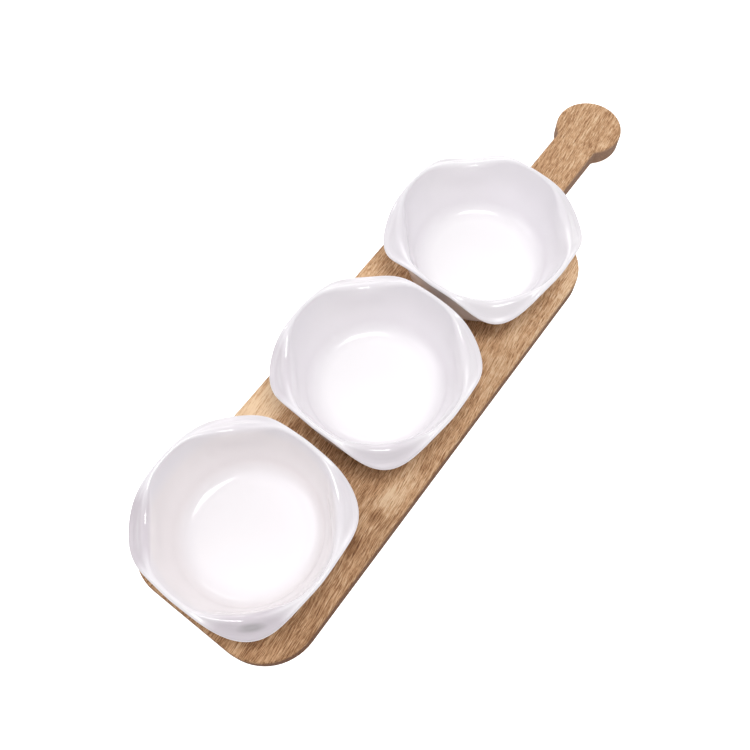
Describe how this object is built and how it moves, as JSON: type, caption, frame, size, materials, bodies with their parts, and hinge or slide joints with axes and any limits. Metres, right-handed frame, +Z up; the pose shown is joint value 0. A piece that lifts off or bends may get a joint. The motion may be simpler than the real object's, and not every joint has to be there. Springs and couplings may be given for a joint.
{
  "type": "chip and dip server",
  "caption": "Wooden paddle board that carries a row of loose white ceramic bowls with turned-out ears, for chips and dips.",
  "frame": {"origin": "On the surface the board lies on, under the middle of the piece's overall length and width.", "axes": "+X along the board towards its handle, +Y to the left seen with the handle pointing away, +Z up."},
  "size_m": [0.45, 0.12, 0.0564],
  "materials": {
    "wood": "satin, lightly oiled",
    "glaze": "glossy white glaze"
  },
  "bodies": {
    "board": {"board": "wood"},
    "near_bowl": {"near_bowl": "glaze"},
    "middle_bowl": {"middle_bowl": "glaze"},
    "far_bowl": {"far_bowl": "glaze"}
  },
  "joints": [
    {"name": "near_bowl_lift", "type": "slide", "parent": "board", "child": "near_bowl", "axis": [0, 0, 1], "range_m": [0, 0.08]},
    {"name": "middle_bowl_lift", "type": "slide", "parent": "board", "child": "middle_bowl", "axis": [0, 0, 1], "range_m": [0, 0.08]},
    {"name": "far_bowl_lift", "type": "slide", "parent": "board", "child": "far_bowl", "axis": [0, 0, 1], "range_m": [0, 0.08]}
  ]
}
